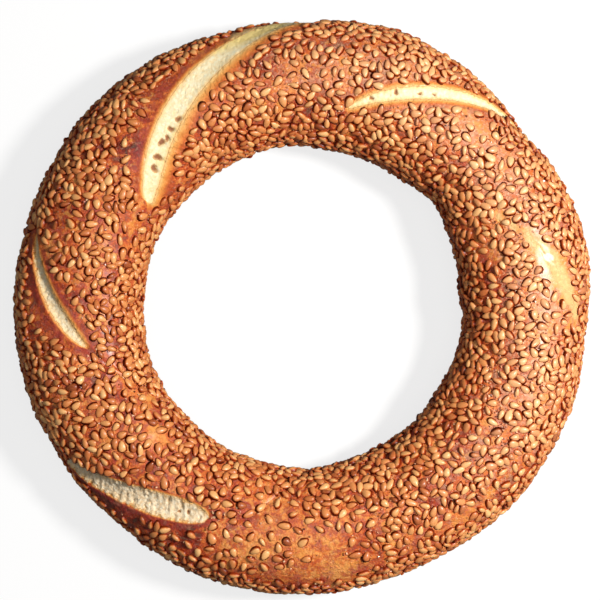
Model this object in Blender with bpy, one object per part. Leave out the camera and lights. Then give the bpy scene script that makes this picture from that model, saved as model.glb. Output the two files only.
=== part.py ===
"""A simit: two ropes of dough twisted round each other, closed into a ring and baked on a tray.

Metres, +Z up. The ring's own axis is Z, and its flat, tray-baked underside lies at Z = 0.

A heading is an angle in degrees seen from above, clockwise from +Y. A roll is an angle round
the rope's section, in degrees: 0 on the ring's outer side, 90 on top, 180 at the hole, and -90
underneath. The two ropes press together along seams. Going round clockwise, each seam rises
out of the hole, crosses the top and runs down the outer side. Some seams burst open in the oven.
"""

import math
from collections import namedtuple

import bmesh
import bpy

RING_RADIUS = 0.0681
ROPE_HALF_WIDTH = 0.0193
ROPE_HALF_HEIGHT = 0.0165
ROPE_MIDDLE_HEIGHT = 0.0147
UNDERSIDE_ROUNDING = 0.0008

# How far the twist leans: the ropes turn slower across the top than across the flat underside.
TWIST_LEAN = 0.35
STEEPNESS = math.radians(35)

VALLEY_HALF_WIDTH = 0.0062
CREASE_HALF_WIDTH = 0.0008
CREASE_SHARE = 0.5
SHOULDER_WIDTH = 0.0014
LIP_RISE = 0.0002
FLOOR_SHARE = 0.55
FLOOR_EDGE_DEPTH = 0.85
UNDERSIDE_FADE = 0.7

# Each section is drawn by lines that follow the twist: seven to a seam, more over each rope.
SECTIONS = 120
SEAM_LINES = 7
STRAND_LINES = 9
RING_LINES = 2 * (SEAM_LINES + STRAND_LINES)

CRUST_COLOUR = (0.42, 0.13, 0.035, 1.0)
CRUST_ROUGHNESS = 0.42

# One seam: where it crosses the ring's crest, how many degrees the twist turns there for each
# degree of heading, how deep its valley lies, and its split, if it has one, by the headings where
# that starts, is widest and ends, its full width, its depth and how square its ends are.
Seam = namedtuple("Seam", "crest turning valley starts widest ends width depth fullness")
SEAMS = [
    Seam(-158, 0.85, 0.0008, -156, -141, -121, 0.0062, 0.0015, 2.2),
    Seam(-97.5, 3.5, 0.0008, -100.5, -91, -75, 0.0035, 0.0011, 1.9),
    Seam(-34.5, 2.7, 0.0005, -56, -24, 4, 0.0056, 0.0003, 4.0),
    Seam(23.5, 3.1, 0.0006, 13, 31, 54, 0.0036, 0.0004, 2.0),
    Seam(72, 3.4, 0.0003, 0, 0, 0, 0, 0, 0),
    Seam(120, 4.0, 0.0004, 0, 0, 0, 0, 0, 0),
    Seam(165, 4.4, 0.0003, 0, 0, 0, 0, 0, 0),
]

# The hand-rolled rope isn't even. One swelling: its heading, its spread in degrees, and how far
# it pushes the outer side out and the hole's side in.
Swelling = namedtuple("Swelling", "heading spread outward inward")
SWELLINGS = [
    Swelling(-178, 8, 0.0004, 0.0000),
    Swelling(-140, 10, -0.0010, 0.0000),
    Swelling(-129, 8, 0.0000, 0.0008),
    Swelling(-82, 12, 0.0003, 0.0009),
    Swelling(-66, 8, 0.0005, 0.0003),
    Swelling(-45, 14, 0.0009, 0.0006),
    Swelling(-16, 8, -0.0006, 0.0004),
    Swelling(9, 5, -0.0002, 0.0004),
    Swelling(20, 10, 0.0015, 0.0002),
    Swelling(52, 9, -0.0014, -0.0022),
    Swelling(75, 8, 0.0010, 0.0000),
    Swelling(85, 6, 0.0000, 0.0012),
    Swelling(97, 6, -0.0010, -0.0002),
    Swelling(121, 6, 0.0000, 0.0008),
    Swelling(130, 8, 0.0004, 0.0000),
    Swelling(138, 7, 0.0000, 0.0003),
    Swelling(158, 10, -0.0009, 0.0004),
]

LAP = 360
SEAM_SPACING = 180
CREST_ROLL = 90


def smooth(t):
    """0 below 0, 1 above 1, and an even curve between."""
    t = min(max(t, 0.0), 1.0)
    return t * t * (3 - 2 * t)


def off_heading(heading, other):
    """How far round the ring a heading lies from another, from -180 to 180."""
    return (heading - other + LAP / 2) % LAP - LAP / 2


def flattened(up):
    """A height with the part under the tray cut off and its edge rounded."""
    if up < -UNDERSIDE_ROUNDING:
        return 0.0
    if up > UNDERSIDE_ROUNDING:
        return up
    return (up + UNDERSIDE_ROUNDING) ** 2 / (4 * UNDERSIDE_ROUNDING)


def twist(heading):
    """How far the pair of ropes has turned at a heading, in degrees, with no end to the laps."""
    laps = math.floor((heading - SEAMS[0].crest) / LAP)
    heading -= laps * LAP
    turned = laps * len(SEAMS) * SEAM_SPACING - CREST_ROLL
    crests = [(seam.crest, seam.turning) for seam in SEAMS]
    crests.append((SEAMS[0].crest + LAP, SEAMS[0].turning))
    step = 0
    while heading > crests[step + 1][0]:
        step += 1
    (start, slope), (end, next_slope) = crests[step:step + 2]
    span = end - start
    t = (heading - start) / span
    rise = SEAM_SPACING * smooth(t)
    lean_out = slope * span * t * (1 - t) ** 2
    lean_in = next_slope * span * t * t * (1 - t)
    return turned + SEAM_SPACING * step + rise + lean_out - lean_in


def seam_roll(number, heading):
    """The roll at which a seam lies at a heading. Seams are numbered on for ever along the laps."""
    turned = math.radians(number * SEAM_SPACING - twist(heading))
    roll = turned
    for _ in range(12):
        off = roll - TWIST_LEAN * math.cos(roll) - turned
        roll -= off / (1 + TWIST_LEAN * math.sin(roll))
    return math.degrees(roll)


def opening(seam, heading):
    """How far open a split is at a heading, from 0 where it is shut to 1 where it is widest."""
    if not seam.width:
        return 0.0
    off = off_heading(heading, seam.widest)
    side = seam.ends if off > 0 else seam.starts
    t = off / (side - seam.widest)
    return max(0.0, 1 - t ** seam.fullness) ** (1 / seam.fullness)


def rope(heading):
    """(radius of its middle line, half-width, half-height) of the rope at a heading."""
    outward = 0.0
    inward = 0.0
    for swelling in SWELLINGS:
        bulge = math.exp(-((off_heading(heading, swelling.heading) / swelling.spread) ** 2))
        outward += swelling.outward * bulge
        inward += swelling.inward * bulge
    fatter = (outward + inward) / 2
    radius = RING_RADIUS + (outward - inward) / 2
    return radius, ROPE_HALF_WIDTH + fatter, ROPE_HALF_HEIGHT + fatter / 2


def lower_seam(heading):
    """The number of the first seam above the underside's middle, by rising roll."""
    return math.ceil((twist(heading) - CREST_ROLL) / SEAM_SPACING)


def seams_at(heading):
    """The two seams that cross this section, as (seam, roll), the lower roll first."""
    lower = lower_seam(heading)
    return [(SEAMS[n % len(SEAMS)], seam_roll(n, heading)) for n in (lower, lower + 1)]


def seen(roll):
    """1 where a seam at this roll shows as made, fading to 0 where the tray pressed it shut."""
    return smooth((math.sin(math.radians(roll)) + UNDERSIDE_FADE) / UNDERSIDE_FADE)


def seam_block(seam, roll, heading, half_height):
    """(roll, height over the plain rope) of the lines that draw one seam, across it."""
    visible = seen(roll)
    opened = opening(seam, heading) * visible
    half = max(CREASE_HALF_WIDTH, seam.width / 2 * opened)
    crease = seam.valley * CREASE_SHARE
    depth = (crease + (seam.depth - crease) * opened) * visible
    lip = LIP_RISE * opened
    floor_edge = -depth * FLOOR_EDGE_DEPTH
    side = [(half * FLOOR_SHARE, floor_edge), (half, lip), (half + SHOULDER_WIDTH, 0.0)]
    profile = [(-across, height) for across, height in reversed(side)]
    profile.append((0.0, -depth))
    profile += side
    to_roll = math.degrees(1 / (half_height * math.cos(STEEPNESS)))
    return [(roll + across * to_roll, height) for across, height in profile]


def section(heading):
    """The points round the rope's section at a heading, by rising roll."""
    radius, half_width, half_height = rope(heading)
    first, second = seams_at(heading)
    blocks = [seam_block(*seam, heading, half_height) for seam in (first, second)]
    lines = []
    for block, after in ((blocks[0], blocks[1][0][0]), (blocks[1], blocks[0][0][0] + LAP)):
        lines += block
        start = block[-1][0]
        for step in range(1, STRAND_LINES + 1):
            lines.append((start + (after - start) * step / (STRAND_LINES + 1), 0.0))
    facing = math.radians(heading)
    points = []
    for roll, height in lines:
        for seam, middle in (first, second):
            off = math.radians(off_heading(roll, middle))
            across = off * half_height * math.cos(STEEPNESS)
            height -= seam.valley * seen(middle) * math.exp(-((across / VALLEY_HALF_WIDTH) ** 2))
        angle = math.radians(roll)
        reach = radius + (half_width + height) * math.cos(angle)
        up = flattened(ROPE_MIDDLE_HEIGHT + (half_height + height) * math.sin(angle))
        points.append((reach * math.sin(facing), reach * math.cos(facing), up))
    return points


def crust_material():
    """Glazed brown crust."""
    material = bpy.data.materials.new("crust")
    material.use_nodes = True
    shader = material.node_tree.nodes["Principled BSDF"]
    shader.inputs["Base Color"].default_value = CRUST_COLOUR
    shader.inputs["Roughness"].default_value = CRUST_ROUGHNESS
    return material


def bread_ring():
    """The whole simit as one closed skin. Each of its lines follows the twist round the ring."""
    bm = bmesh.new()
    start = SEAMS[0].crest
    rings = []
    for index in range(SECTIONS):
        heading = start + LAP * index / SECTIONS
        rings.append(([bm.verts.new(point) for point in section(heading)], lower_seam(heading)))
    rings.append((rings[0][0], rings[0][1] + len(SEAMS)))
    for (ring, lower), (following, next_lower) in zip(rings, rings[1:]):
        # Where a seam has gone under and come round, the same line has moved on by one rope.
        shift = (lower - next_lower) * RING_LINES // 2
        for line in range(RING_LINES):
            beside = (line + 1) % RING_LINES
            ahead = (line + shift) % RING_LINES
            ahead_beside = (beside + shift) % RING_LINES
            corners = (ring[line], ring[beside], following[ahead_beside], following[ahead])
            bm.faces.new(corners)
    bmesh.ops.recalc_face_normals(bm, faces=bm.faces)
    mesh = bpy.data.meshes.new("bread_ring")
    bm.to_mesh(mesh)
    bm.free()
    mesh.shade_smooth()
    mesh.materials.append(crust_material())
    bpy.context.collection.objects.link(bpy.data.objects.new("bread_ring", mesh))


for old in list(bpy.data.objects):
    bpy.data.objects.remove(old)
bread_ring()
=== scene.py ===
import itertools
import math
from collections import namedtuple

import bpy
import numpy as np
from mathutils import Matrix, Vector, noise
from mathutils.bvhtree import BVHTree


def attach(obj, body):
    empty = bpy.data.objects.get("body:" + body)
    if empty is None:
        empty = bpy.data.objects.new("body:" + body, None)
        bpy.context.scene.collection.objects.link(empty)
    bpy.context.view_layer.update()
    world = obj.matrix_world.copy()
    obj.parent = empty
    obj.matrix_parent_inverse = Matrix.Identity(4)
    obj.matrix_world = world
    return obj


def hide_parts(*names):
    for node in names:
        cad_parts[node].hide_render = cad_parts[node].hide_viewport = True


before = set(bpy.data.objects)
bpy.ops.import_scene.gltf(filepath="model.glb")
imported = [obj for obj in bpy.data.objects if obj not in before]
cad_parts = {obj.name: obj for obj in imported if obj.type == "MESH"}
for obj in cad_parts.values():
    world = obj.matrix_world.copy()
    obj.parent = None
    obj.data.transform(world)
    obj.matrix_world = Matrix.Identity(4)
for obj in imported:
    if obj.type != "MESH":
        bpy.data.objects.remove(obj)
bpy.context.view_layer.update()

# The simit's crust, its crumb and its seeds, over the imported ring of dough. Metres, +Z up.
# A heading is in degrees seen from above, clockwise from +Y. A roll goes round the rope's
# section, in degrees: 0 outside, 90 on top, 180 at the hole, -90 underneath. A place across the
# top runs from 1 at the outer edge to -1 at the hole's edge: it is the cosine of the roll.

MM = 0.001
LAP = 360
SEAM_SPACING = 180
CREST_ROLL = 90

RING_RADIUS = 68.1 * MM
ROPE_HALF_WIDTH = 19.3 * MM
ROPE_HALF_HEIGHT = 16.5 * MM
ROPE_MIDDLE_HEIGHT = 14.7 * MM
TWIST_LEAN = 0.35
STEEPNESS = math.radians(35)
UNDERSIDE_FADE = 0.7

# Each seam between the two ropes, as the ring of dough has them: where it crosses the crest, how
# fast the twist turns there, and its split by the headings where that starts, is widest and ends,
# its full width and how square its ends are. A seam that stayed shut has no width, and where its
# split would be counts for nothing.
Seam = namedtuple("Seam", "crest turning starts widest ends width fullness")
SEAMS = [
    Seam(-158, 0.85, -156, -141, -121, 6.2 * MM, 2.2),
    Seam(-97.5, 3.5, -100.5, -91, -75, 3.5 * MM, 1.9),
    Seam(-34.5, 2.7, -56, -24, 4, 5.6 * MM, 4.0),
    Seam(23.5, 3.1, 13, 31, 54, 3.6 * MM, 2.0),
    Seam(72, 3.4, 0, 1, 2, 0, 2),
    Seam(120, 4.0, 0, 1, 2, 0, 2),
    Seam(165, 4.4, 0, 1, 2, 0, 2),
]
# How each seam tore and baked: how ragged its crumb is and how yellow, how far a golden border
# spreads from it to the outer side and to the hole, and how wide a bare band of crust lies there.
Tear = namedtuple("Tear", "ragged yellow gold_out gold_in bare_out bare_in")
STAYED_SHUT = Tear(0, 0, 0, 0, 0, 0)
TEARS = [
    Tear(1.00, 0.20, 0.3 * MM, 0.5 * MM, 2.2 * MM, 0.9 * MM),
    Tear(0.50, 0.45, 0.5 * MM, 0.9 * MM, 3.4 * MM, 2.4 * MM),
    Tear(0.15, 0.80, 0.9 * MM, 2.4 * MM, 2.8 * MM, 2.6 * MM),
    Tear(0.40, 0.95, 1.2 * MM, 1.1 * MM, 1.2 * MM, 1.4 * MM),
    STAYED_SHUT,
    STAYED_SHUT,
    STAYED_SHUT,
]
# How far outside a split a point counts as lying where no split is near, and the least distance
# over which a border fades.
FAR_OUTSIDE = 9 * MM
LEAST_FADE = 0.1 * MM
# Small holes in the crumb: heading, place across, radius.
Pit = namedtuple("Pit", "heading across radius")
PITS = [
    Pit(-33.5, -0.08, 0.90 * MM),
    Pit(-36.5, -0.15, 0.90 * MM),
    Pit(-38.7, -0.23, 0.83 * MM),
    Pit(-40.5, -0.22, 1.05 * MM),
    Pit(-44.0, -0.36, 1.20 * MM),
    Pit(-47.0, -0.44, 1.12 * MM),
    Pit(18.3, -0.20, 0.60 * MM),
    Pit(23.6, 0.04, 0.75 * MM),
    Pit(28.9, 0.22, 0.55 * MM),
    Pit(31.8, 0.34, 0.50 * MM),
    Pit(-151, 0.12, 0.60 * MM),
    Pit(-149, 0.20, 0.50 * MM),
]
# The hand-rolled rope isn't even. One swelling: its heading, its spread in degrees, and how far
# it pushes the outer side out and the hole's side in.
Swelling = namedtuple("Swelling", "heading spread outward inward")
SWELLINGS = [
    Swelling(-178, 8, 0.4 * MM, 0.0 * MM),
    Swelling(-140, 10, -1.0 * MM, 0.0 * MM),
    Swelling(-129, 8, 0.0 * MM, 0.8 * MM),
    Swelling(-82, 12, 0.3 * MM, 0.9 * MM),
    Swelling(-66, 8, 0.5 * MM, 0.3 * MM),
    Swelling(-45, 14, 0.9 * MM, 0.6 * MM),
    Swelling(-16, 8, -0.6 * MM, 0.4 * MM),
    Swelling(9, 5, -0.2 * MM, 0.4 * MM),
    Swelling(20, 10, 1.5 * MM, 0.2 * MM),
    Swelling(52, 9, -1.4 * MM, -2.2 * MM),
    Swelling(75, 8, 1.0 * MM, 0.0 * MM),
    Swelling(85, 6, 0.0 * MM, 1.2 * MM),
    Swelling(97, 6, -1.0 * MM, -0.2 * MM),
    Swelling(121, 6, 0.0 * MM, 0.8 * MM),
    Swelling(130, 8, 0.4 * MM, 0.0 * MM),
    Swelling(138, 7, 0.0 * MM, 0.3 * MM),
    Swelling(158, 10, -0.9 * MM, 0.4 * MM),
]

# Where the crust looks unlike the rest: heading, place across, their spreads, how bare of seeds
# it is (below 0 the seeds crowd) and how golden it is (below 0 it is baked dark, from 1 to 3 it is
# baked so little that it turns from gold to cream and then to near white).
Patch = namedtuple("Patch", "heading across length breadth bare golden")
PATCHES = [
    Patch(-172, -0.39, 9, 0.50, 0.55, 0.6),
    Patch(172, 0.30, 9, 0.50, 0.50, 0.5),
    Patch(-155, 0.50, 6, 0.30, 0.60, -0.6),
    Patch(-137, 0.79, 12, 0.14, 0.95, -0.9),
    Patch(-142, 0.02, 10, 0.30, 0.45, 0.2),
    Patch(-164, 0.05, 9, 0.35, 0.35, 0.0),
    Patch(-132, -0.54, 5, 0.15, 0.60, 0.8),
    Patch(-111, -0.58, 5, 0.15, 0.60, 0.7),
    Patch(-121, -0.77, 4, 0.15, 0.80, 0.6),
    Patch(-88, 0.61, 9, 0.14, 0.90, -0.2),
    Patch(-70, 0.40, 4, 0.20, 0.80, 0.0),
    Patch(-66, -0.68, 6, 0.25, 0.85, 0.4),
    Patch(-47, 0.04, 5, 0.14, 0.80, -0.3),
    Patch(-38, 0.22, 5, 0.14, 0.85, -0.3),
    Patch(-30, 0.40, 5, 0.14, 0.85, -0.2),
    Patch(-22, 0.59, 5, 0.14, 0.80, -0.2),
    Patch(-52, -0.63, 5, 0.14, 0.70, 0.7),
    Patch(-44, -0.44, 5, 0.14, 0.70, 0.7),
    Patch(-36, -0.25, 5, 0.12, 0.60, 0.7),
    Patch(-47, -0.81, 8, 0.20, 0.80, -0.6),
    Patch(-2, 0.91, 4, 0.10, 0.80, -0.7),
    Patch(-18, 0.73, 6, 0.10, 0.30, 1.1),
    Patch(-12, 0.89, 4, 0.11, 1.00, 2.2),
    Patch(-6, 0.95, 4, 0.10, 1.00, 2.0),
    Patch(-4, 0.10, 6, 0.25, 0.50, 0.3),
    Patch(10, 0.56, 10, 0.12, 0.60, -0.7),
    Patch(43, 0.38, 7, 0.20, 0.70, 0.5),
    Patch(54, 0.35, 6, 0.18, 0.50, 0.2),
    Patch(65.5, -0.24, 2.2, 0.07, 0.9, 1.8),
    Patch(69, -0.08, 2.2, 0.07, 1.0, 1.9),
    Patch(72.3, 0.08, 2.4, 0.09, 1.0, 1.9),
    Patch(75.6, 0.22, 2.6, 0.13, 1.0, 1.7),
    Patch(79.3, 0.38, 3, 0.16, 1.0, 1.6),
    Patch(83.3, 0.51, 3, 0.15, 1.0, 1.7),
    Patch(87.3, 0.64, 3, 0.13, 1.0, 1.7),
    Patch(91.5, 0.77, 3, 0.11, 0.9, 1.6),
    Patch(78.6, 0.31, 1.2, 0.13, 1.0, 1.4),
    Patch(90, 0.35, 8, 0.20, 0.3, 0.4),
    Patch(180, 0.55, 16, 0.45, 0.40, 0.2),
    Patch(-178, 0.66, 10, 0.13, 0.60, 0.3),
    Patch(170, 0.64, 9, 0.12, 0.50, 0.3),
    Patch(91, 0.10, 4, 0.12, 0.50, 0.4),
    Patch(75, -0.54, 4, 0.15, 0.80, 0.6),
    Patch(140, 0.59, 15, 0.09, 0.80, 0.6),
    Patch(122, 0.14, 4, 0.10, 0.60, 0.5),
    Patch(122, -0.15, 7, 0.08, 0.60, 0.5),
    Patch(18, 0.25, 1.6, 0.08, 0.10, -1.6),
    Patch(-21, -0.86, 1.6, 0.08, 0.10, -1.6),
    Patch(-55, 0.40, 6, 0.25, -0.40, 0.0),
    Patch(-35, -0.54, 6, 0.20, -0.40, 0.0),
    Patch(22, 0.72, 4, 0.20, -0.50, 0.0),
    Patch(84, -1.00, 5, 0.20, -0.50, 0.0),
    Patch(160, -1.00, 6, 0.20, -0.50, 0.0),
]

# The bounds of the patches' sums: (most crowded, barest) and (most baked, least baked).
BARE_BOUNDS = (-1, 1)
GOLDEN_BOUNDS = (-1.6, 3)

# Where painted sheen lies: the heading of the side the key lamp lights, and its line across the
# top.
SHEEN_HEADING = 65
SHEEN_ACROSS = 0.2

# The crust lies this far inside the ring of dough's own surface, which leaves room for the seeds.
SEED_ROOM = 0.6 * MM


# ---- Where things are on the twisted ring -------------------------------------------------


def smooth(t):
    """0 below 0, 1 above 1, and an even curve between."""
    t = np.clip(t, 0.0, 1.0)
    return t * t * (3 - 2 * t)


def turned(angle, other):
    """How far one angle lies from another round a circle, from -180 to 180."""
    return (angle - other + LAP / 2) % LAP - LAP / 2


def twist(heading):
    """How far the pair of ropes has turned at each heading, in degrees."""
    crests = np.array([seam.crest for seam in SEAMS] + [SEAMS[0].crest + LAP], float)
    slopes = np.array([seam.turning for seam in SEAMS] + [SEAMS[0].turning], float)
    heading = (heading - crests[0]) % LAP + crests[0]
    step = np.clip(np.searchsorted(crests, heading, side="right") - 1, 0, len(SEAMS) - 1)
    span = crests[step + 1] - crests[step]
    t = (heading - crests[step]) / span
    lean_out = slopes[step] * span * t * (1 - t) ** 2
    lean_in = slopes[step + 1] * span * t * t * (1 - t)
    return SEAM_SPACING * (step + smooth(t)) - CREST_ROLL + lean_out - lean_in


def seam_roll(number, heading):
    """The roll at which each numbered seam lies at each heading."""
    goal = np.radians(number * SEAM_SPACING - twist(heading))
    roll = goal.copy()
    for _ in range(12):
        off = roll - TWIST_LEAN * np.cos(roll) - goal
        roll -= off / (1 + TWIST_LEAN * np.sin(roll))
    return np.degrees(roll)


def rope(heading):
    """(radius of its middle line, half-width, half-height) of the rope at each heading."""
    outward = np.zeros_like(heading)
    inward = np.zeros_like(heading)
    for swelling in SWELLINGS:
        bulge = np.exp(-((turned(heading, swelling.heading) / swelling.spread) ** 2))
        outward += swelling.outward * bulge
        inward += swelling.inward * bulge
    fatter = (outward + inward) / 2
    radius = RING_RADIUS + (outward - inward) / 2
    return radius, ROPE_HALF_WIDTH + fatter, ROPE_HALF_HEIGHT + fatter / 2


def heading_and_roll(points):
    """(heading, roll) of each point near the rope."""
    heading = np.degrees(np.arctan2(points[:, 0], points[:, 1]))
    radius, half_width, half_height = rope(heading)
    out = (np.hypot(points[:, 0], points[:, 1]) - radius) / half_width
    up = (points[:, 2] - ROPE_MIDDLE_HEIGHT) / half_height
    return heading, np.degrees(np.arctan2(up, out))


def of_seams(field, which, table=SEAMS):
    """One field of each point's own seam, or of its tear."""
    return np.array([getattr(row, field) for row in table], float)[which]


def seams_near(heading, roll):
    """For both seams of each section: (which seam, distance across it, distance past its
    split's end, how far open its split is there)."""
    half_height = rope(heading)[2]
    lower = np.ceil((twist(heading) - CREST_ROLL) / SEAM_SPACING).astype(int)
    found = []
    for number in (lower, lower + 1):
        which = number % len(SEAMS)
        middle = seam_roll(number, heading)
        across = np.radians(turned(roll, middle)) * half_height * math.cos(STEEPNESS)
        seen = smooth((np.sin(np.radians(middle)) + UNDERSIDE_FADE) / UNDERSIDE_FADE)
        off = turned(heading, of_seams("widest", which))
        reach = np.where(
            off > 0,
            of_seams("ends", which) - of_seams("widest", which),
            of_seams("starts", which) - of_seams("widest", which),
        )
        t = off / reach
        past = np.radians(np.abs(reach) * np.maximum(0, t - 1)) * RING_RADIUS
        fullness = of_seams("fullness", which)
        opened = np.maximum(0, 1 - np.minimum(t, 1) ** fullness) ** (1 / fullness) * seen
        found.append((which, across, past, opened))
    return found


Split = namedtuple("Split", "inside ragged yellow border band")


def split_at(heading, roll):
    """What the nearest split does to each point: how far inside its edge it lies (below 0
    outside), how ragged and how yellow its crumb is, how golden and how bare its border is."""
    inside = np.full_like(heading, -FAR_OUTSIDE)
    ragged = np.zeros_like(heading)
    yellow = np.zeros_like(heading)
    border = np.zeros_like(heading)
    band = np.zeros_like(heading)
    for which, across, past, opened in seams_near(heading, roll):
        width = of_seams("width", which)
        depth_in = np.where(width > 0, width / 2 * opened - np.abs(across) - past, -FAR_OUTSIDE)
        nearer = depth_in > inside
        inside = np.where(nearer, depth_in, inside)
        ragged = np.where(nearer, of_seams("ragged", which, TEARS), ragged)
        yellow = np.where(nearer, of_seams("yellow", which, TEARS), yellow)
        to_hole = across > 0
        gold = np.where(
            to_hole, of_seams("gold_in", which, TEARS), of_seams("gold_out", which, TEARS)
        )
        bare = np.where(
            to_hole, of_seams("bare_in", which, TEARS), of_seams("bare_out", which, TEARS)
        )
        away = np.maximum(0, -depth_in)
        border = np.maximum(border, np.exp(-away / np.maximum(gold, LEAST_FADE)) * (width > 0))
        band = np.maximum(band, smooth(1.5 - away / np.maximum(bare, LEAST_FADE)) * (width > 0))
    return Split(inside, ragged, yellow, border, band)


def pitting(heading, roll):
    """How deep in one of the crumb's small holes each point lies, from 0 to 1. The waves round
    each hole's middle make its rim uneven."""
    place = np.cos(np.radians(roll))
    deep = np.zeros_like(heading)
    for number, pit in enumerate(PITS):
        along = np.radians(turned(heading, pit.heading)) * RING_RADIUS / pit.radius
        beside = (place - pit.across) * ROPE_HALF_WIDTH / pit.radius
        angle = np.arctan2(beside, along)
        ragged = 1 + 0.25 * np.cos(2 * angle + number * 2.1) + 0.15 * np.cos(3 * angle + number)
        away = np.hypot(along, beside) / ragged
        deep = np.maximum(deep, np.exp(-(away**3)) * (roll > 0))
    return deep


def patchwork(heading, roll):
    """(how bare of seeds, how golden) the crust is at each point, from the list of patches."""
    bare = np.zeros_like(heading)
    golden = np.zeros_like(heading)
    place = np.cos(np.radians(roll))
    on_top = smooth(np.sin(np.radians(roll)) * 4 + 0.6)
    for patch in PATCHES:
        along = turned(heading, patch.heading) / patch.length
        beside = (place - patch.across) / patch.breadth
        weight = np.exp(-(along**2) - beside**2) * on_top
        bare += patch.bare * weight
        golden += patch.golden * weight
    return np.clip(bare, *BARE_BOUNDS), np.clip(golden, *GOLDEN_BOUNDS)


def paint_sheen_and_shade(heading, roll):
    """Painted sheen along the crest on the side the key lamp lights, and painted shade in the hole
    there.
    """
    side = smooth((np.cos(np.radians(turned(heading, SHEEN_HEADING))) + 0.35) / 1.25)
    place = np.cos(np.radians(roll))
    crest = np.exp(-(((place - SHEEN_ACROSS) / 0.75) ** 2)) * (roll > -20)
    in_hole = smooth((-place - 0.45) / 0.4)
    return side * (crest - 0.6 * in_hole)


# ---- Modelling helpers ---------------------------------------------------------------------


def only(piece):
    """Selects one piece alone and makes it the active one."""
    bpy.ops.object.select_all(action="DESELECT")
    piece.select_set(True)
    bpy.context.view_layer.objects.active = piece


def vectors_of(mesh, field):
    """One vector for each of a mesh's points, a row each."""
    values = np.empty(len(mesh.vertices) * 3, np.float32)
    mesh.vertices.foreach_get(field, values)
    return values.reshape(-1, 3).astype(float)


def points_of(mesh):
    return vectors_of(mesh, "co")


def normals_of(mesh):
    return vectors_of(mesh, "normal")


def faces_of(mesh):
    return [tuple(face.vertices) for face in mesh.polygons]


def put_points(mesh, points):
    mesh.vertices.foreach_set("co", points.astype(np.float32).ravel())
    mesh.update()


def add_attribute(mesh, name, values):
    attribute = mesh.attributes.new(name, "FLOAT", "POINT")
    attribute.data.foreach_set("value", values.astype(np.float32))


def apply_all(piece):
    only(piece)
    for modifier in list(piece.modifiers):
        bpy.ops.object.modifier_apply(modifier=modifier.name)


def joined(name, shapes):
    """One piece made of many small shapes, each given as (points, faces)."""
    points, faces = [], []
    start = 0
    for shape_points, shape_faces in shapes:
        points.append(shape_points)
        faces += [tuple(start + corner for corner in face) for face in shape_faces]
        start += len(shape_points)
    mesh = bpy.data.meshes.new(name)
    mesh.from_pydata(np.concatenate(points).tolist(), [], faces)
    piece = bpy.data.objects.new(name, mesh)
    bpy.context.scene.collection.objects.link(piece)
    return piece


def grain(points, size, octaves=3):
    """Even noise between about -1 and 1 at each point, with lumps of this size."""
    scaled = points / size
    return np.array([noise.fractal(Vector(p), 1.0, 2.0, octaves) for p in scaled])


def fibres(heading, roll, size):
    """Even noise between about -1 and 1, drawn out into strands that cross the splits."""
    round_ring = np.radians(heading) * RING_RADIUS
    over_top = np.radians(roll) * ROPE_HALF_HEIGHT
    along = round_ring * math.cos(STEEPNESS) - over_top * math.sin(STEEPNESS)
    across = round_ring * math.sin(STEEPNESS) + over_top * math.cos(STEEPNESS)
    return grain(np.stack([along, across * 0.35, np.zeros_like(along)], axis=1), size, 4)


def cells(points, size):
    """0 in the middle of each cell of this size, rising to about 1 at its rim."""
    scaled = points / size
    return np.array([noise.voronoi(Vector(p))[0][0] for p in scaled])


# ---- The bread -------------------------------------------------------------------------------

MERGING = 0.01 * MM
SQUARING = math.radians(75)
ROUNDING_LEVELS = 2

# How far past a split's edge the mesh is cut finer, how many cuts an edge takes there, and how
# long an edge is that still gets cut.
FINE_BORDER = 2.2 * MM
FINE_CUTS = 2
LONG_EDGE = 0.5 * MM

LUMP_HEIGHT = 0.22 * MM
WRINKLE_HEIGHT = 0.13 * MM
TEAR_HEIGHT = 0.42 * MM
BUMP_HEIGHT = 0.12 * MM
PORE_DEPTH = 0.35 * MM
PIT_DEPTH = 0.8 * MM


def copy_of_dough():
    """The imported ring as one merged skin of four-sided faces, ready to be refined."""
    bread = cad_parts["bread_ring"].copy()
    bread.data = bread.data.copy()
    bread.name = "bread"
    bread.data.name = "bread"
    bread.parent = None
    bpy.context.scene.collection.objects.link(bread)
    only(bread)
    bpy.ops.object.mode_set(mode="EDIT")
    bpy.ops.mesh.select_all(action="SELECT")
    bpy.ops.mesh.remove_doubles(threshold=MERGING)
    bpy.ops.mesh.tris_convert_to_quads(face_threshold=SQUARING, shape_threshold=SQUARING)
    bpy.ops.object.mode_set(mode="OBJECT")
    rounding = bread.modifiers.new("rounding", "SUBSURF")
    rounding.levels = ROUNDING_LEVELS
    rounding.render_levels = ROUNDING_LEVELS
    apply_all(bread)
    return bread


def refine_splits(bread):
    """Cuts the faces in and beside each open split finer, so that torn crumb can be modelled."""
    only(bread)
    bpy.ops.object.mode_set(mode="EDIT")
    bpy.ops.mesh.select_mode(type="EDGE")
    bpy.ops.mesh.select_all(action="DESELECT")
    bpy.ops.object.mode_set(mode="OBJECT")
    mesh = bread.data
    points = points_of(mesh)
    near = split_at(*heading_and_roll(points)).inside > -FINE_BORDER
    ends = np.empty(len(mesh.edges) * 2, np.int32)
    mesh.edges.foreach_get("vertices", ends)
    ends = ends.reshape(-1, 2)
    length = np.linalg.norm(points[ends[:, 0]] - points[ends[:, 1]], axis=1)
    mesh.edges.foreach_set("select", near[ends].all(axis=1) & (length > LONG_EDGE))
    bpy.ops.object.mode_set(mode="EDIT")
    bpy.ops.mesh.subdivide(number_cuts=FINE_CUTS, smoothness=0)
    bpy.ops.object.mode_set(mode="OBJECT")


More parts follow.
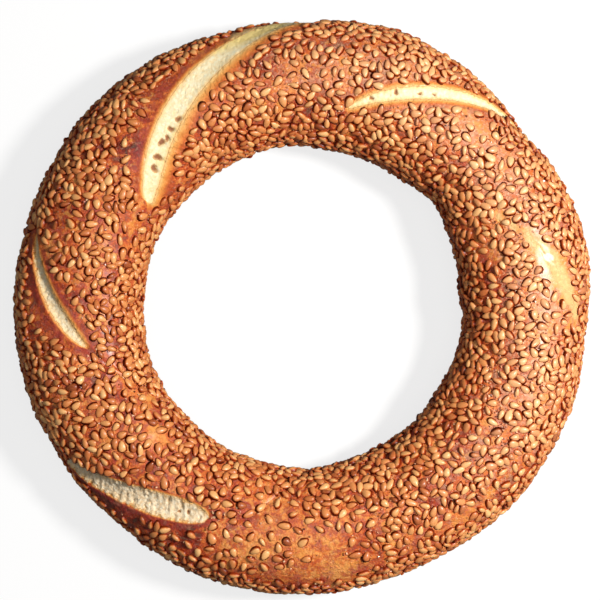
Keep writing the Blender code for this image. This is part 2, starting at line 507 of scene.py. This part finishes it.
def shape_crust(bread):
    """Sets the crust in under its seeds and gives it lumps, wrinkles and torn, porous splits."""
    mesh = bread.data
    points = points_of(mesh)
    heading, roll = heading_and_roll(points)
    split = split_at(heading, roll)
    ragged = split.ragged
    in_crumb = smooth(split.inside / (0.6 * MM) + 0.5)
    lumps = grain(points, 9 * MM, 2) * LUMP_HEIGHT
    wrinkles = grain(points + 1, 1.8 * MM) * WRINKLE_HEIGHT
    tears = fibres(heading, roll, 1.1 * MM) * TEAR_HEIGHT * ragged
    bumps = grain(points + 3, 1.4 * MM) * BUMP_HEIGHT * (0.3 + ragged)
    pores = -PORE_DEPTH * smooth((0.42 - cells(points + 4, 1.3 * MM)) / 0.2)
    holes = -PIT_DEPTH * pitting(heading, roll)
    crumb = tears + bumps + pores * (0.3 + 0.7 * ragged) + holes
    height = lumps + wrinkles * (1 - in_crumb) + crumb * in_crumb - SEED_ROOM
    points += normals_of(mesh) * height[:, None]
    points[:, 2] = np.maximum(points[:, 2], SEED_ROOM)
    put_points(mesh, points)


def mark_crust(bread):
    """Gives the crust's points what the material reads."""
    mesh = bread.data
    points = points_of(mesh)
    heading, roll = heading_and_roll(points)
    split = split_at(heading, roll)
    add_attribute(mesh, "inside_mm", split.inside / MM)
    add_attribute(mesh, "ragged", split.ragged)
    add_attribute(mesh, "yellow", split.yellow)
    add_attribute(mesh, "border", split.border)
    add_attribute(mesh, "band", split.band)
    add_attribute(mesh, "golden", patchwork(heading, roll)[1])
    add_attribute(mesh, "pit", pitting(heading, roll))
    # Where painted sheen and painted shade lie on the crust.
    add_attribute(mesh, "pale", paint_sheen_and_shade(heading, roll))


# ---- The seeds -------------------------------------------------------------------------------

SeedShape = namedtuple("SeedShape", "length width height point")
SEED_SHAPES = [
    SeedShape(3.4 * MM, 2.15 * MM, 1.05 * MM, 0.65),
    SeedShape(3.2 * MM, 2.05 * MM, 1.00 * MM, 0.80),
    SeedShape(3.6 * MM, 2.05 * MM, 0.95 * MM, 0.55),
    SeedShape(3.0 * MM, 2.20 * MM, 1.10 * MM, 0.70),
    SeedShape(3.3 * MM, 1.60 * MM, 1.25 * MM, 0.60),
]
# Seeds whose middles lie further apart than this can't touch.
SEED_SPAN = 3.6 * MM
# A seed is the upper part of a taller egg, cut this far below its middle, on a flared foot.
DOME_STRETCH = 1.25
CUT_BELOW = 0.14
FOOT_HEIGHT = 0.32 * MM
FOOT_FLARE = (1.24, 1.40, 1)
# How far a seed's middle lies off the crust, and what share of its reach into others lifts it.
SEED_LIFT = 0.26 * MM
PILING = 0.8
FLOOR_GAP = 0.02 * MM

MOST_SEEDS = 8200
THROWS = 160000
THROWN_FROM = 30 * MM

# How far apart two seeds' middles lie side by side, what each adds that lies end on, and how far
# into each other they may reach where they are spread and where they are crowded.
SIDE_GAP = 1.75 * MM
END_GAP = 0.50 * MM
LEAST_OVERLAP = 0.10 * MM
CROWDED_OVERLAP = 0.5 * MM

# How closely seeds lie on the crest, what the sides and the crowded patches add, what the bare
# crust by a split takes off, and how uneven it all is. 1 is packed.
CROWD_ON_TOP = 0.66
CROWD_AT_SIDES = 0.46
CROWDED_PATCH = 0.4
BORDER_BARENESS = 0.4
BAND_BARENESS = 0.75
SPLIT_MARGIN = 0.8 * MM
MOST_CROWDED = 1.2
UNEVENNESS = 0.25
# Below the first seeds keep their distance, by this share more of it. Above the last they pile up.
SPARSE = 0.75
SPARSE_DISTANCE = 0.9
CROWDED = 0.6

# How seeds differ in size, width and height, as shares, how far they lean, as a slope, and what
# lying on others adds to that.
SIZE_SPREAD = 0.07
WIDTH_SPREAD = 0.05
HEIGHT_SPREAD = 0.1
LEAN = 0.13
PILED_LEAN = 0.4 / MM

# The kinds of seed by how toasted they are: the share of the seeds, and the toasting's range.
SeedKind = namedtuple("SeedKind", "name share palest darkest")
SEED_KINDS = [
    SeedKind("seeds_pale", 0.10, 0.0, 0.25),
    SeedKind("seeds_straw", 0.20, 0.2, 0.35),
    SeedKind("seeds_golden", 0.20, 0.35, 0.5),
    SeedKind("seeds_amber", 0.20, 0.45, 0.6),
    SeedKind("seeds_brown", 0.20, 0.6, 0.75),
    SeedKind("seeds_dark", 0.10, 0.7, 1.0),
]

# One seed on the crust: where, the way its back faces, the way its point faces, its size and how
# far it lies on others.
Thrown = namedtuple("Thrown", "place normal ahead size piled")


def model_seed(number, shape):
    """One sesame seed, flat side down, its point towards +X: a low dome on a flared foot, which the
    material colours as pooled glaze and painted shade.
    """
    bpy.ops.object.select_all(action="DESELECT")
    bpy.ops.mesh.primitive_uv_sphere_add(
        segments=8, ring_count=7, radius=0.5, rotation=(0, math.radians(90), 0)
    )
    seed = bpy.context.object
    seed.name = f"seed_shape_{number}"
    bpy.ops.object.transform_apply(location=True, rotation=True, scale=True)
    seed.scale = (shape.length, shape.width, shape.height * DOME_STRETCH)
    bpy.ops.object.transform_apply(location=False, rotation=False, scale=True)
    points = points_of(seed.data)
    along = points[:, 0] / shape.length
    points[:, 1] *= 1 - shape.point * along
    points[:, 2] *= 1 - 0.5 * shape.point * along
    put_points(seed.data, points)
    bpy.ops.object.mode_set(mode="EDIT")
    bpy.ops.mesh.select_all(action="SELECT")
    bpy.ops.mesh.bisect(
        plane_co=(0, 0, -CUT_BELOW * shape.height),
        plane_no=(0, 0, 1),
        use_fill=True,
        clear_inner=True,
    )
    bpy.ops.mesh.select_mode(type="FACE")
    bpy.ops.mesh.select_all(action="DESELECT")
    bpy.ops.object.mode_set(mode="OBJECT")
    for face in seed.data.polygons:
        face.select = face.normal.z < -0.95
    bpy.ops.object.mode_set(mode="EDIT")
    bpy.ops.mesh.extrude_region_move(TRANSFORM_OT_translate={"value": (0, 0, -FOOT_HEIGHT)})
    bpy.ops.transform.resize(value=FOOT_FLARE, center_override=(0, 0, 0))
    bpy.ops.object.mode_set(mode="OBJECT")
    return seed


def seed_template(number, shape):
    """(points, faces, rim) of one seed. The rim runs from 0 on its back to 1 at its foot. The
    material paints a highlight on the back and shade at the foot.
    """
    seed = model_seed(number, shape)
    points = points_of(seed.data)
    faces = faces_of(seed.data)
    lowest = points[:, 2].min()
    rim = 1 - smooth((points[:, 2] - lowest - 0.8 * FOOT_HEIGHT) / (0.75 * shape.height))
    bpy.data.objects.remove(seed)
    return points, faces, rim


def crowding(heading, roll):
    """How closely seeds lie at a point: 0 is bare and 1 is packed."""
    bare = patchwork(heading, roll)[0]
    split = split_at(heading, roll)
    side = 1 - np.abs(np.sin(np.radians(roll)))
    crowd = CROWD_ON_TOP + CROWD_AT_SIDES * side
    crowd -= np.maximum(bare, 0) + np.minimum(bare, 0) * CROWDED_PATCH
    crowd -= BORDER_BARENESS * split.border + BAND_BARENESS * split.band
    return np.where(split.inside > -SPLIT_MARGIN, 0.0, np.clip(crowd, 0.0, MOST_CROWDED))


def way_out(heading, roll, radius, half_width, half_height):
    """(middle of the rope, direction from there) for a place on its skin."""
    facing = math.radians(heading)
    out = Vector((math.sin(facing), math.cos(facing), 0))
    angle = math.radians(roll)
    way = out * (half_width * math.cos(angle))
    way += Vector((0, 0, half_height * math.sin(angle)))
    return out * radius + Vector((0, 0, ROPE_MIDDLE_HEIGHT)), way.normalized()


def flat_axes(normal):
    """Two directions along the skin, square to each other."""
    side = normal.cross(Vector((0, 0, 1)) if abs(normal.z) < 0.9 else Vector((1, 0, 0)))
    side.normalize()
    return side, normal.cross(side)


def neighbours(taken, cell):
    """The seeds in one cell of space and in those beside it."""
    near = []
    for step in itertools.product((-1, 0, 1), repeat=3):
        near += taken.get(tuple(here + by for here, by in zip(cell, step)), ())
    return near


def overlap_with(near, place, point, spread):
    """How far a seed at this place, its point this way, would reach into those near it."""
    overlap = 0.0
    for other, other_point in near:
        gap = place - other
        distance = gap.length
        if distance > SEED_SPAN * spread:
            continue
        gap.normalize()
        mine = abs(gap.dot(point))
        theirs = abs(gap.dot(other_point))
        need = (SIDE_GAP + END_GAP * mine * mine + END_GAP * theirs * theirs) * spread
        overlap = max(overlap, need - distance)
    return overlap


def throw_seeds(bread):
    """Throws seeds at the crust, one by one, and keeps each that finds room."""
    rng = np.random.default_rng(7)
    skin = BVHTree.FromObject(bread, bpy.context.evaluated_depsgraph_get())
    heading = rng.uniform(-180, 180, THROWS)
    roll = rng.uniform(-180, 180, THROWS)
    radius, half_width, half_height = rope(heading)
    reach = radius + half_width * np.cos(np.radians(roll))
    keep = rng.uniform(0, 1, THROWS) < reach / reach.max()
    crowd = crowding(heading, roll)
    luck = rng.uniform(0, 1, THROWS)
    directions = rng.uniform(0, math.tau, (THROWS, 4))
    sizes = rng.normal(1.0, SIZE_SPREAD, THROWS)
    mess = np.array([noise.noise(Vector((h / 9, r / 25, 3))) for h, r in zip(heading, roll)])
    full = crowd + UNEVENNESS * mess
    taken = {}
    seeds = []
    for i in np.nonzero(keep & (crowd > 0) & (luck <= full * 1.5))[0]:
        middle, way = way_out(heading[i], roll[i], radius[i], half_width[i], half_height[i])
        place, normal, _, _ = skin.ray_cast(middle + way * THROWN_FROM, -way, THROWN_FROM)
        if place is None:
            continue
        side, ahead = flat_axes(normal)
        cell = tuple(math.floor(c / SEED_SPAN) for c in place)
        near = neighbours(taken, cell)
        spread = 1 + SPARSE_DISTANCE * max(0.0, SPARSE - full[i])
        points = [side * math.cos(turn) + ahead * math.sin(turn) for turn in directions[i]]
        overlaps = [overlap_with(near, place, point, spread) for point in points]
        piled = min(overlaps)
        if piled > LEAST_OVERLAP + CROWDED_OVERLAP * max(0.0, full[i] - CROWDED):
            continue
        point = points[overlaps.index(piled)]
        taken.setdefault(cell, []).append((place, point))
        lift = SEED_LIFT + PILING * piled
        seeds.append(Thrown(place + normal * lift, normal, point, sizes[i], piled))
        if len(seeds) >= MOST_SEEDS:
            break
    return seeds


def join_seeds(name, seeds, toasts, templates, rng):
    """One mesh of all the seeds of a kind, each with its own shape, tilt and toasting."""
    shapes, rims, toasting = [], [], []
    for seed, toast in zip(seeds, toasts):
        base, faces, rim = templates[rng.integers(len(templates))]
        lean, roll = rng.normal(0, LEAN + PILED_LEAN * seed.piled, 2)
        up = (seed.normal + seed.ahead * lean + seed.normal.cross(seed.ahead) * roll).normalized()
        front = (seed.ahead - up * seed.ahead.dot(up)).normalized()
        axes = np.array(Matrix((front, up.cross(front), up)).transposed())
        wider = rng.normal(1, WIDTH_SPREAD)
        stretch = np.array([seed.size, seed.size * wider, rng.normal(1, HEIGHT_SPREAD)])
        placed = (base * stretch) @ axes.T + np.array(seed.place)
        placed[:, 2] = np.maximum(placed[:, 2], FLOOR_GAP)
        shapes.append((placed, faces))
        rims.append(rim)
        toasting.append(np.full(len(base), toast))
    piece = joined(name, shapes)
    mesh = piece.data
    add_attribute(mesh, "rim", np.concatenate(rims))
    add_attribute(mesh, "toast", np.concatenate(toasting))
    # Where painted sheen and painted shade lie on the seeds.
    add_attribute(mesh, "pale", paint_sheen_and_shade(*heading_and_roll(points_of(mesh))))
    mesh.shade_smooth()
    return piece


def make_seeds(bread):
    """All the seeds, as one piece for each kind."""
    templates = [seed_template(n, shape) for n, shape in enumerate(SEED_SHAPES)]
    seeds = throw_seeds(bread)
    rng = np.random.default_rng(11)
    shares = np.array([kind.share for kind in SEED_KINDS])
    which = rng.choice(len(SEED_KINDS), len(seeds), p=shares / shares.sum())
    pieces = []
    for number, kind in enumerate(SEED_KINDS):
        mine = [seed for seed, chosen in zip(seeds, which) if chosen == number]
        toasts = rng.uniform(kind.palest, kind.darkest, len(mine))
        pieces.append(join_seeds(kind.name, mine, toasts, templates, rng))
    return pieces


# ---- Flakes of glaze and broken seed among the seeds --------------------------------------------

FLAKES = 3000
FLAKE_SIZE = 0.85 * MM
FLAKE_SHAPES = 4
FLAKE_CRUMPLING = 0.09
FLAKE_SIZES = (0.5, 1.2)
FLAKE_HEIGHTS = (0.1 * MM, 0.4 * MM)
FLAKE_TILT = 0.3
FLAKES_ELSEWHERE = 0.25
# Where flakes lie thickest: heading, place across, their spreads.
Flaky = namedtuple("Flaky", "heading across length breadth")
FLAKY = [
    Flaky(-4, 0.05, 8, 0.3),
    Flaky(54, 0.35, 8, 0.2),
    Flaky(64, 0.1, 6, 0.3),
    Flaky(-100, 0.3, 10, 0.3),
    Flaky(105, 0.0, 25, 0.5),
]


def model_flake(number, rng):
    """A crumpled chip, thin and uneven, lying flat."""
    bpy.ops.object.select_all(action="DESELECT")
    bpy.ops.mesh.primitive_ico_sphere_add(subdivisions=1, radius=0.5)
    flake = bpy.context.object
    flake.name = f"flake_shape_{number}"
    flake.scale = (1.0, 0.6, 0.4)
    bpy.ops.object.transform_apply(location=False, rotation=False, scale=True)
    points = points_of(flake.data)
    put_points(flake.data, points + rng.normal(0, FLAKE_CRUMPLING, points.shape))
    return flake


def flakiness(heading, roll):
    """How likely a flake is at each point: none lies by a split or where the crust hardly baked."""
    place = np.cos(np.radians(roll))
    weight = FLAKES_ELSEWHERE * smooth(np.sin(np.radians(roll)) * 2 + 0.6)
    for flaky in FLAKY:
        along = turned(heading, flaky.heading) / flaky.length
        beside = (place - flaky.across) / flaky.breadth
        weight += np.exp(-(along**2) - beside**2) * (roll > 0)
    split = split_at(heading, roll)
    bare, golden = patchwork(heading, roll)
    weight *= (split.inside < -1.0 * MM) * (split.band < 0.3) * (golden < 0.8)
    return weight * (1 - 0.8 * np.maximum(bare, 0))


def make_flakes(bread):
    """One mesh of all the flakes, set among the seeds."""
    rng = np.random.default_rng(23)
    models = [model_flake(number, rng) for number in range(FLAKE_SHAPES)]
    templates = [(points_of(model.data), faces_of(model.data)) for model in models]
    for model in models:
        bpy.data.objects.remove(model)
    spots = points_of(bread.data)
    normals = normals_of(bread.data)
    weight = flakiness(*heading_and_roll(spots))
    chosen = rng.choice(len(spots), FLAKES, replace=False, p=weight / weight.sum())
    shapes, toasting = [], []
    for spot in chosen:
        base, faces = templates[rng.integers(FLAKE_SHAPES)]
        up = Vector(normals[spot] + rng.normal(0, FLAKE_TILT, 3)).normalized()
        front = up.cross(Vector(rng.normal(0, 1, 3))).normalized()
        axes = np.array(Matrix((front, up.cross(front), up)).transposed())
        size = FLAKE_SIZE * rng.uniform(*FLAKE_SIZES)
        height = rng.uniform(*FLAKE_HEIGHTS)
        shapes.append(((base * size) @ axes.T + spots[spot] + normals[spot] * height, faces))
        toasting.append(np.full(len(base), rng.uniform(0, 1)))
    piece = joined("flakes", shapes)
    add_attribute(piece.data, "toast", np.concatenate(toasting))
    return piece


# ---- Materials -------------------------------------------------------------------------------


class Shade:
    """A value inside a material. Arithmetic on it adds the Math nodes."""

    def __init__(self, mix, socket):
        self.mix = mix
        self.socket = socket

    def math(self, operation, *values):
        settings = {"operation": operation}
        inputs = dict(enumerate(values))
        return self.mix.node("ShaderNodeMath", settings, inputs)

    def __add__(self, other):
        return self.math("ADD", self, other)

    def __radd__(self, other):
        return self.math("ADD", other, self)

    def __sub__(self, other):
        return self.math("SUBTRACT", self, other)

    def __rsub__(self, other):
        return self.math("SUBTRACT", other, self)

    def __mul__(self, other):
        return self.math("MULTIPLY", self, other)

    def __rmul__(self, other):
        return self.math("MULTIPLY", other, self)

    def between(self, low, high):
        """0 where the value is at low, 1 at high, eased between."""
        settings = {"interpolation_type": "SMOOTHSTEP"}
        inputs = {"Value": self, "From Min": low, "From Max": high}
        return self.mix.node("ShaderNodeMapRange", settings, inputs)


class Finish:
    """One material while it is being made up."""

    def __init__(self, name):
        self.material = bpy.data.materials.new(name)
        self.material.use_nodes = True
        self.tree = self.material.node_tree
        self.shader = self.tree.nodes["Principled BSDF"]

    def feed(self, socket, value):
        if isinstance(value, Shade):
            self.tree.links.new(value.socket, socket)
        else:
            socket.default_value = value

    def node(self, kind, settings, inputs, output=0):
        """Adds a node: first its settings, then the values or links of its sockets."""
        added = self.tree.nodes.new(kind)
        for name, value in settings.items():
            if name == "stops":
                self.set_stops(added.color_ramp, value)
            else:
                setattr(added, name, value)
        for name, value in inputs.items():
            self.feed(added.inputs[name], value)
        return Shade(self, added.outputs[output])

    def set_stops(self, ramp, stops):
        while len(ramp.elements) < len(stops):
            ramp.elements.new(1.0)
        for element, (place, look) in zip(ramp.elements, stops):
            element.position = place
            element.color = look

    def attribute(self, name):
        return self.node("ShaderNodeAttribute", {"attribute_name": name}, {}, "Fac")

    def speckle(self, size, detail=3.0, roughness=0.5, distortion=0.0):
        """Noise from 0 to 1 with lumps of this size, fixed to the object."""
        where = self.node("ShaderNodeTexCoord", {}, {}, "Object")
        inputs = {
            "Vector": where,
            "Scale": 1 / size,
            "Detail": detail,
            "Roughness": roughness,
            "Distortion": distortion,
        }
        return self.node("ShaderNodeTexNoise", {}, inputs, "Fac")

    def pulse(self, value, middle, reach):
        """1 where a value is near the middle one, fading to 0 at this reach from it."""
        off = value - middle
        return off.math("ABSOLUTE", off).between(reach, 0.0)

    def blend(self, amount, first, second):
        """A colour between two."""
        settings = {"data_type": "RGBA"}
        return self.node("ShaderNodeMix", settings, {0: amount, 6: first, 7: second}, 2)

    def ramp(self, amount, stops):
        return self.node("ShaderNodeValToRGB", {"stops": stops}, {0: amount})

    def bump(self, height, distance, strength=1.0):
        inputs = {"Height": height, "Distance": distance, "Strength": strength}
        return self.node("ShaderNodeBump", {}, inputs)

    def finish(self, **sockets):
        for name, value in sockets.items():
            self.feed(self.shader.inputs[name.replace("_", " ")], value)
        return self.material


def colour(red, green, blue):
    """A colour given as seen on a screen, from 0 to 255, as the light that it reflects."""
    light = []
    for part in (red, green, blue):
        part /= 255
        light.append(part / 12.92 if part <= 0.04045 else ((part + 0.055) / 1.055) ** 2.4)
    return (*light, 1.0)


def crust_look(mix, mottle, grit, golden, band):
    """Glazed crust from deep brown to copper, rosy in places, lighter where it baked less, with
    painted sheen and painted glints where the key lamp lights it.
    """
    clouds = mix.speckle(13 * MM, 3)
    bake = 0.45 + (clouds - 0.5) * 1.4 + (mottle - 0.5) * 1.9 + (grit - 0.5) * 0.4 - golden * 0.3
    crust = mix.ramp(
        bake + band * 0.12,
        [
            (0.05, colour(248, 164, 88)),
            (0.30, colour(232, 124, 56)),
            (0.50, colour(206, 88, 38)),
            (0.72, colour(156, 48, 22)),
            (0.98, colour(74, 18, 7)),
        ],
    )
    rose = mix.speckle(5 * MM, 4, 0.65, 0.8)
    rosy = (rose + (grit - 0.5) * 0.3 + band * 0.1).between(0.49, 0.62) * 0.62
    crust = mix.blend(rosy, crust, colour(170, 62, 54))
    # Painted sheen: the crest that the key lamp lights turns paler and pinker.
    pale = mix.attribute("pale")
    painted_sheen = (pale * 0.4 + (mottle - 0.5) * 2.6).between(0.0, 0.7) * (0.25 + pale * 0.4)
    crust = mix.blend(painted_sheen, crust, colour(246, 180, 136))
    glow = mix.speckle(3.4 * MM, 3, 0.55, 1.0)
    luminous = (glow + golden * 0.08).between(0.56, 0.68) * (1 - band) * 0.6
    crust = mix.blend(luminous, crust, colour(250, 166, 76))
    # Painted glints: pale pink specks for the glaze's sparkle, most where the key lamp lights the
    # crest.
    glint_specks = mix.speckle(0.8 * MM, 4, 0.65)
    glint = (glint_specks + pale * 0.05).between(0.55, 0.70) * (1 - band * 0.8) * (0.35 + pale * 0.35)
    return mix.blend(glint, crust, colour(250, 204, 166))


def border_look(mix, crust, mottle, grit, golden):
    """The crust with its golden borders beside the splits and the places that hardly baked."""
    border = mix.attribute("border")
    gold = mix.ramp(
        border + (mottle - 0.5) * 0.35 + (grit - 0.5) * 0.15,
        [
            (0.10, colour(204, 88, 38)),
            (0.40, colour(234, 132, 58)),
            (0.70, colour(252, 178, 94)),
            (1.00, colour(255, 214, 142)),
        ],
    )
    baked = mix.blend((border + (mottle - 0.5) * 0.4).between(0.12, 0.5), crust, gold)
    thin = golden + (mottle - 0.5) * 0.9 + (grit - 0.5) * 0.5
    baked = mix.blend(thin.between(0.8, 1.7) * 0.85, baked, colour(248, 206, 138))
    spot = golden + (mottle - 0.5) * 0.3
    return mix.blend(spot.between(2.2, 2.6), baked, colour(255, 248, 214))


def crumb_look(mix, edge, grit, golden, yellow):
    """Cream crumb, whiter or warmer, with a golden rim, painted shade of pores and small holes
    darkened with painted shade.
    """
    # Painted shade of pores: darker speckles over the cream crumb.
    pore_shade = mix.speckle(1.1 * MM, 4, 0.7)
    white = mix.ramp(
        pore_shade,
        [
            (0.28, colour(212, 164, 118)),
            (0.44, colour(246, 214, 174)),
            (0.65, colour(255, 242, 216)),
        ],
    )
    warm = mix.ramp(
        pore_shade,
        [
            (0.20, colour(250, 214, 146)),
            (0.42, colour(255, 236, 184)),
            (0.65, colour(255, 247, 212)),
        ],
    )
    crumb = mix.blend(yellow, white, warm)
    crumb = mix.blend(edge.between(1.1, 0.1) * (0.25 + yellow * 0.5), crumb, colour(254, 204, 122))
    crumb = mix.blend(golden.between(0.2, 1.4) * 0.9, crumb, colour(255, 226, 142))
    # Painted shade in the crumb's small holes: brown that darkens towards their middles.
    pit = mix.attribute("pit") + (grit - 0.5) * 0.7
    pit_shade = mix.blend(pit.between(0.45, 0.9), colour(206, 158, 104), colour(140, 72, 38))
    return mix.blend(pit.between(0.15, 0.45) * 0.9, crumb, pit_shade)


def bread_finish():
    """Glazed crust, golden where it baked thin, and matt cream crumb where it burst."""
    mix = Finish("bread")
    ragged = mix.attribute("ragged")
    yellow = mix.attribute("yellow")
    golden = mix.attribute("golden")
    mottle = mix.speckle(2.4 * MM, 4, 0.6, 0.6)
    grit = mix.speckle(0.6 * MM, 3, 0.65)
    edge = mix.attribute("inside_mm") + (mottle - 0.5) * (0.4 + ragged * 1.6)
    edge += (grit - 0.5) * (0.2 + ragged)
    open_crumb = edge.between(-0.12, 0.22)
    crust = crust_look(mix, mottle, grit, golden, mix.attribute("band"))
    baked = border_look(mix, crust, mottle, grit, golden)
    look = mix.blend(open_crumb, baked, crumb_look(mix, edge, grit, golden, yellow))
    wrinkle = mix.speckle(1.3 * MM, 4, 0.7, 0.8)
    relief = (wrinkle + grit * 0.2 - 0.6) * (1 - open_crumb * yellow * 0.7)
    return mix.finish(
        Base_Color=mix.blend(mix.pulse(edge, 0.05, 0.16) * 0.7, look, colour(206, 116, 52)),
        Roughness=0.40 + (grit - 0.5) * 0.3 + open_crumb * 0.35,
        Coat_Weight=(1 - open_crumb) * (0.2 + 0.3 * mottle),
        Coat_Roughness=0.28,
        Specular_IOR_Level=0.25,
        Normal=mix.bump(relief, 1.0 * MM, 0.9),
    )


def seed_finish(name):
    """Toasted sesame under glaze: bright on its back, partly a painted highlight, darker down its
    sides as painted shade, and dark round its foot with pooled glaze and painted shade.
    """
    mix = Finish(name)
    toast = mix.attribute("toast")
    rim = mix.attribute("rim")
    fleck = mix.speckle(0.5 * MM, 2)
    pale = mix.attribute("pale")
    # Painted sheen makes seeds paler on the side the key lamp lights, and painted shade makes them
    # darker in the hole there.
    toasting = toast * 0.8 + (fleck - 0.5) * 0.3 + 0.12 - pale * 0.14
    back = mix.ramp(
        toasting,
        [
            (0.00, colour(248, 202, 140)),
            (0.25, colour(240, 178, 112)),
            (0.50, colour(226, 148, 86)),
            (0.75, colour(200, 112, 60)),
            (1.00, colour(136, 60, 32)),
        ],
    )
    body = mix.ramp(
        toasting,
        [
            (0.00, colour(216, 128, 60)),
            (0.30, colour(200, 100, 42)),
            (0.65, colour(170, 68, 26)),
            (1.00, colour(104, 36, 14)),
        ],
    )
    foot_glaze_and_shade = mix.ramp(
        toasting,
        [
            (0.00, colour(158, 54, 10)),
            (0.50, colour(124, 36, 6)),
            (1.00, colour(70, 17, 3)),
        ],
    )
    edge = rim + (fleck - 0.5) * 0.2
    # Painted sheen: seeds' backs turn paler and pinker on the lit side.
    back = mix.blend(pale.between(0.1, 1.0) * 0.4, back, colour(250, 198, 150))
    # Painted highlight on each seed's back, fading to painted shade down its sides, over its
    # toasted colour.
    seed = mix.blend(edge.between(-0.05, 0.50), back, body)
    # The foot's dark colour is partly pooled glaze and partly painted shade where the seed meets
    # the crust.
    return mix.finish(
        Base_Color=mix.blend(edge.between(0.50, 0.90), seed, foot_glaze_and_shade),
        Roughness=0.36 + (fleck - 0.5) * 0.2,
        Coat_Weight=0.35 - edge.between(0.3, 0.8) * 0.3,
        Coat_Roughness=0.25,
        Specular_IOR_Level=0.3,
    )


def flake_finish():
    """Chips of glaze and seed husk, from dark caramel to pale straw."""
    mix = Finish("flakes")
    toasting = mix.attribute("toast") + (mix.speckle(0.4 * MM, 2) - 0.5) * 0.4
    look = mix.ramp(
        toasting,
        [
            (0.00, colour(92, 34, 16)),
            (0.35, colour(178, 88, 52)),
            (0.70, colour(226, 150, 104)),
            (1.00, colour(248, 204, 160)),
        ],
    )
    return mix.finish(Base_Color=look, Roughness=0.35, Coat_Weight=0.3, Coat_Roughness=0.2)


def paint(piece, material):
    piece.data.materials.clear()
    piece.data.materials.append(material)


# ---- The studio ------------------------------------------------------------------------------

PICTURE_WIDTH = 182.4 * MM
LENS = 120
SENSOR = 36
CAMERA_PLACE = (-0.65 * MM, 2.0 * MM)
FLOOR_SIZE = 4
FLOOR_GREY = 0.22
FLOOR_GLOW = 0.78
LAMPS_AIM = (0, 0, 10 * MM)
SKY_STRENGTH = 0.1


def lay_floor():
    """A plain white table top under the ring."""
    bpy.ops.object.select_all(action="DESELECT")
    bpy.ops.mesh.primitive_plane_add(size=FLOOR_SIZE)
    floor = bpy.context.object
    floor.name = "floor"
    mix = Finish("floor")
    white = mix.finish(
        Base_Color=(FLOOR_GREY, FLOOR_GREY, FLOOR_GREY, 1),
        Roughness=0.9,
        Specular_IOR_Level=0.0,
        Emission_Color=(1, 1, 1, 1),
        Emission_Strength=FLOOR_GLOW,
    )
    paint(floor, white)
    floor.visible_diffuse = False
    floor.visible_glossy = False


def add_area(name, place, size, power, tint):
    """A round soft lamp that shines on the ring."""
    light = bpy.data.lights.new(name, "AREA")
    light.shape = "DISK"
    light.size = size
    light.energy = power
    light.color = tint
    lamp = bpy.data.objects.new(name, light)
    lamp.location = place
    aim = Vector(LAMPS_AIM) - Vector(place)
    lamp.rotation_euler = aim.to_track_quat("-Z", "Y").to_euler()
    bpy.context.scene.collection.objects.link(lamp)


def light_studio():
    """A key lamp from the right, a wide soft one overhead and a faint sky."""
    add_area("key", (0.38, 0.05, 0.52), 0.11, 4.9, (1.0, 0.98, 0.95))
    add_area("overhead", (0.1, 0.0, 1.3), 0.7, 2.8, (1.0, 1.0, 1.0))
    world = bpy.data.worlds.new("studio")
    bpy.context.scene.world = world
    world.use_nodes = True
    sky = world.node_tree.nodes["Background"]
    sky.inputs["Color"].default_value = (1, 1, 1, 1)
    sky.inputs["Strength"].default_value = SKY_STRENGTH
    bpy.context.scene.view_settings.view_transform = "Standard"


def place_camera():
    """Straight above the ring. The picture is as wide as named at the rope's middle height."""
    camera = bpy.data.cameras.new("camera")
    camera.lens = LENS
    camera.sensor_width = SENSOR
    distance = PICTURE_WIDTH * LENS / SENSOR
    holder = bpy.data.objects.new("camera", camera)
    holder.location = (*CAMERA_PLACE, ROPE_MIDDLE_HEIGHT + distance)
    bpy.context.scene.collection.objects.link(holder)
    bpy.context.scene.camera = holder


place_camera()
light_studio()
lay_floor()
bread = copy_of_dough()
refine_splits(bread)
shape_crust(bread)
mark_crust(bread)
paint(bread, bread_finish())
bread.data.shade_smooth()
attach(bread, "root")
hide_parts("bread_ring")
for piece in make_seeds(bread):
    paint(piece, seed_finish(piece.name))
    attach(piece, "root")
flakes = make_flakes(bread)
paint(flakes, flake_finish())
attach(flakes, "root")

bpy.context.view_layer.update()
